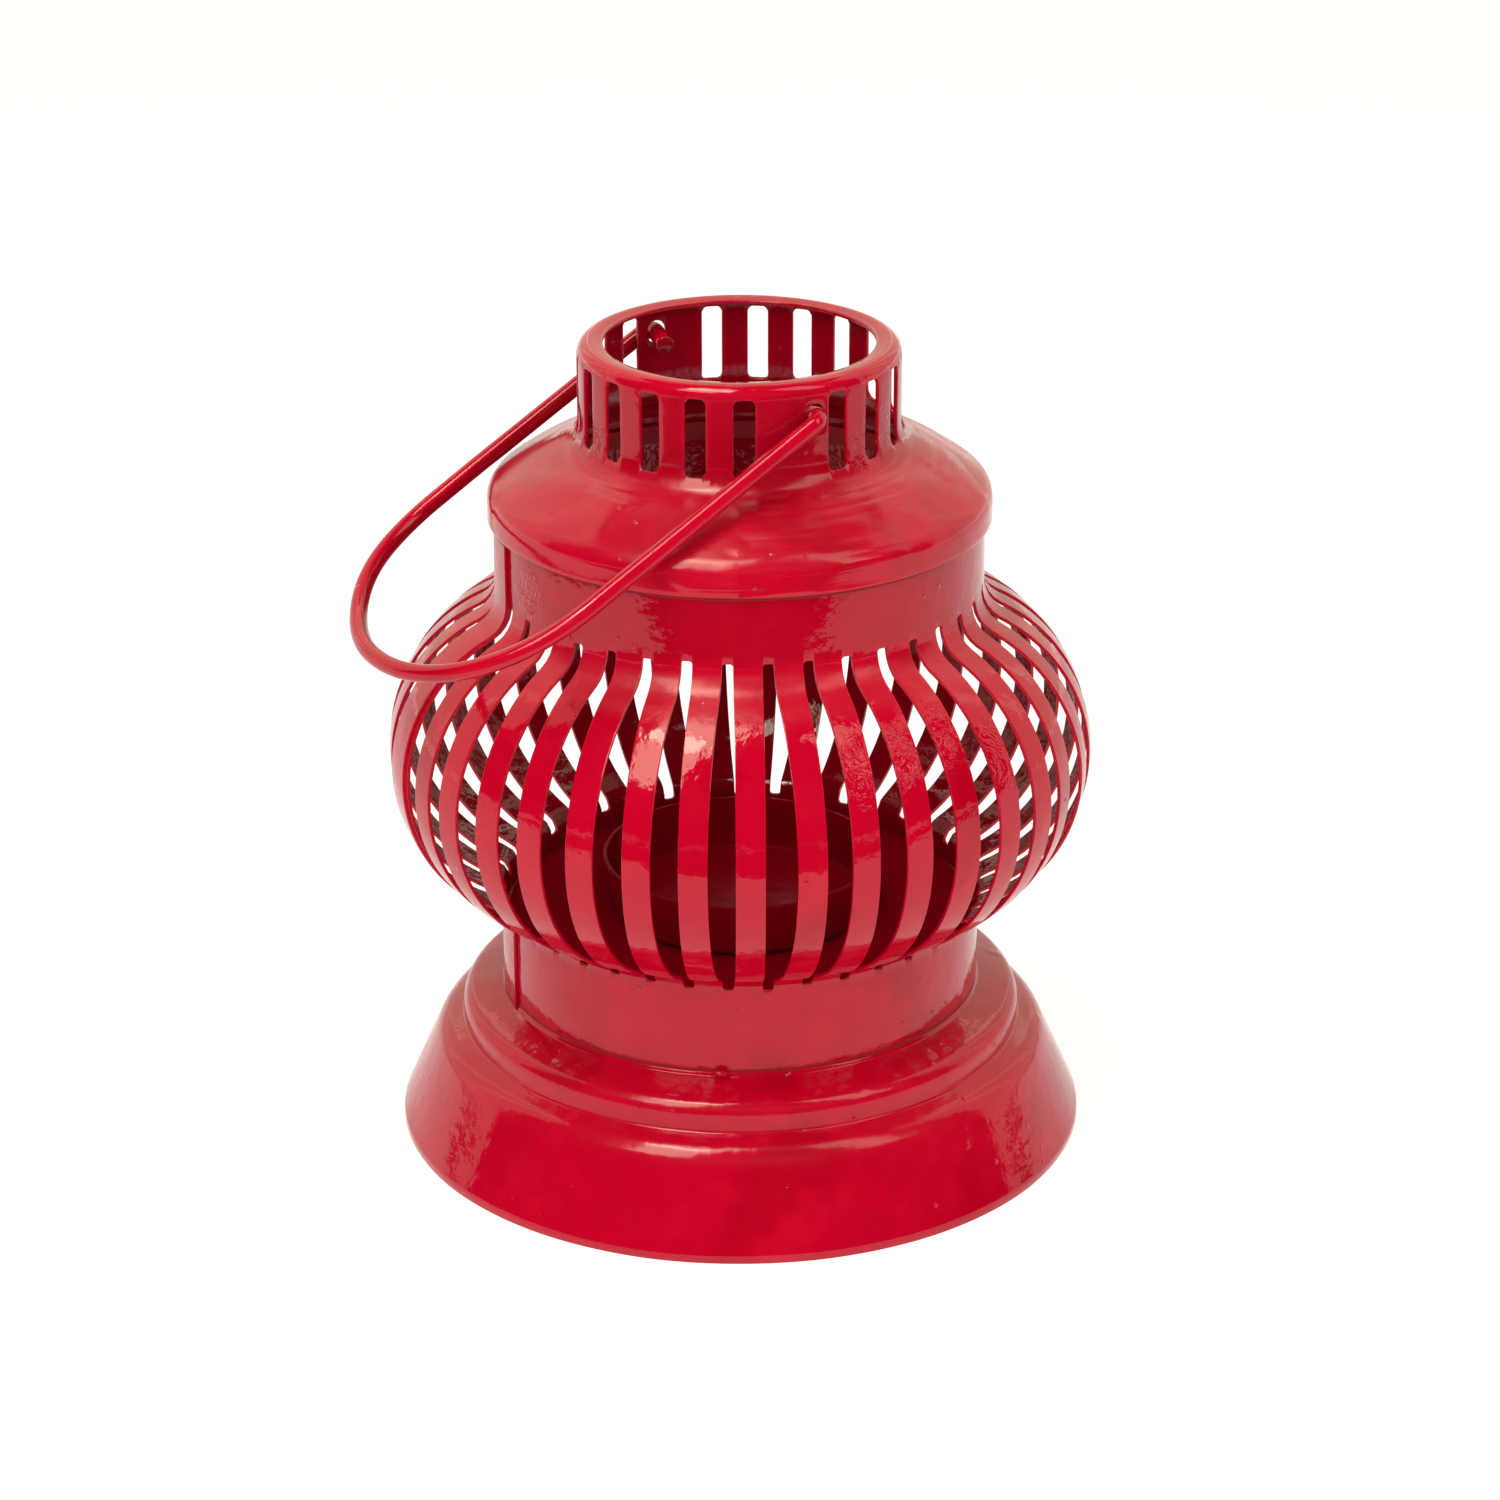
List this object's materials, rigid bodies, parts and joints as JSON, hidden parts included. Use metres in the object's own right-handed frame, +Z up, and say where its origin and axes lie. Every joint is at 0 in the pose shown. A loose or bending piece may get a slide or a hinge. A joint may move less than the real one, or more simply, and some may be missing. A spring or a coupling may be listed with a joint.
{
  "type": "tealight lantern",
  "caption": "Red enamelled sheet-metal tealight lantern shaped like an oil lamp, with a bulged slotted cage, spun base, lift-off cap and wire bail.",
  "frame": {"origin": "on the lantern's axis, in the plane of the bottom rim it stands on", "axes": "+Z up along the lantern's axis, -Y towards the viewer, +X to the viewer's right"},
  "size_m": [0.1079, 0.1042, 0.1228],
  "materials": {
    "red_enamel": "gloss",
    "wire_enamel": "gloss",
    "bead_enamel": "gloss"
  },
  "bodies": {
    "lantern_body": {"base_skirt": "red_enamel", "cage": "red_enamel", "tray": "red_enamel", "candle_cup": "red_enamel", "weld_bead_1": "bead_enamel", "weld_bead_2": "bead_enamel", "weld_bead_3": "bead_enamel"},
    "lid": {"cap": "red_enamel"},
    "handle": {"bail": "wire_enamel"}
  },
  "joints": [
    {"name": "cap_lift", "type": "slide", "parent": "lantern_body", "child": "lid", "axis": [0, 0, 1], "range_m": [0, 0.06]},
    {"name": "bail_swing", "type": "hinge", "parent": "lid", "child": "handle", "pos_m": [-0.001, -0.00057, 0.1179], "axis": [-0.5, 0.866, 0], "range_deg": [0, 235]}
  ]
}
